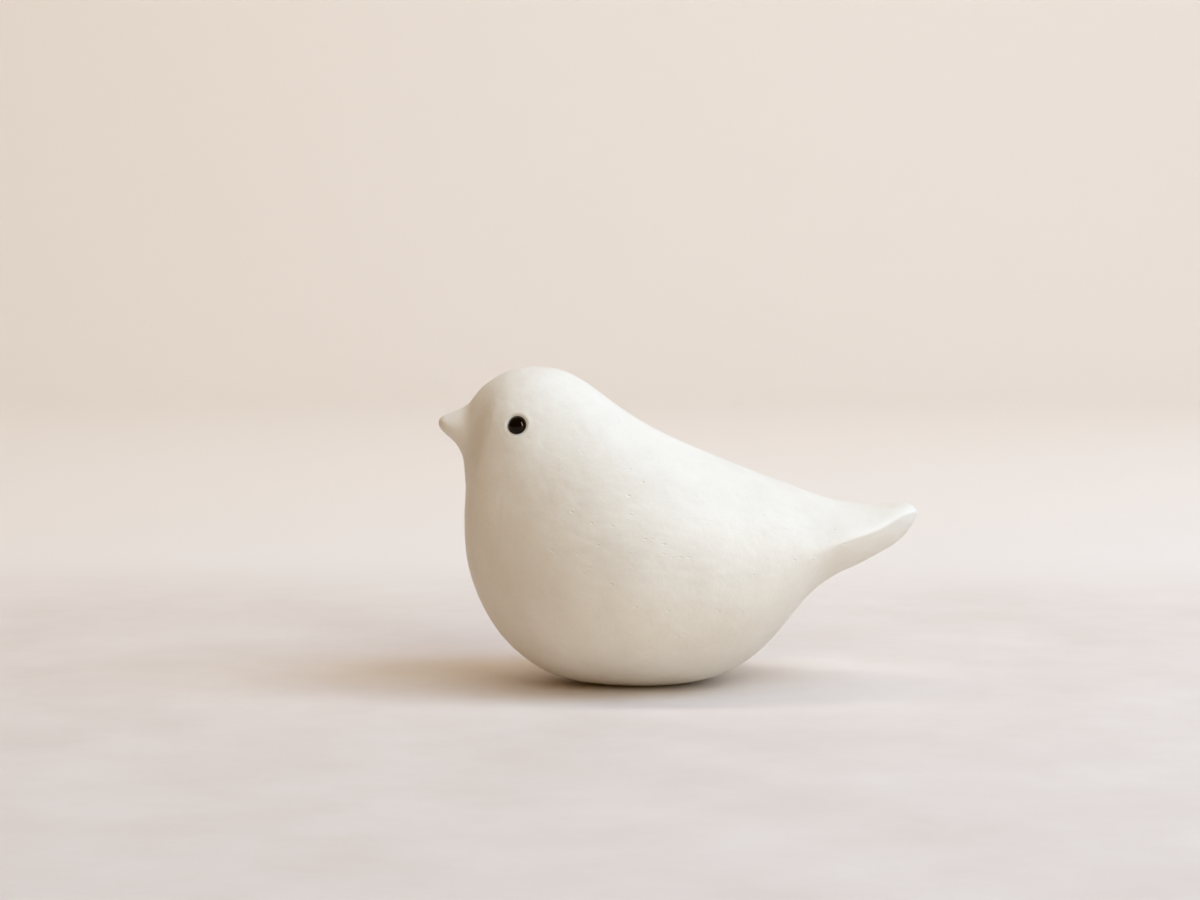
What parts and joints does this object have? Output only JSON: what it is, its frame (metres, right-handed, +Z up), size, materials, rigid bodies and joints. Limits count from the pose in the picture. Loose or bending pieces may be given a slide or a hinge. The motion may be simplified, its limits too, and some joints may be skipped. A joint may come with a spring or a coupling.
{
  "type": "bird figurine",
  "caption": "Plump ceramic bird with a small conical beak, black bead eyes, a wide rising tail and a flat foot.",
  "frame": {"origin": "middle of the flat foot, on the surface the bird stands on", "axes": "the bird faces -X along its length, +Y is across it, +Z is up"},
  "size_m": [0.1191, 0.0656, 0.0793],
  "materials": {
    "satin_ceramic": "satin",
    "black_glass": "polished"
  },
  "bodies": {
    "root": {"body": "satin_ceramic", "left_eye": "black_glass", "right_eye": "black_glass"}
  },
  "joints": []
}
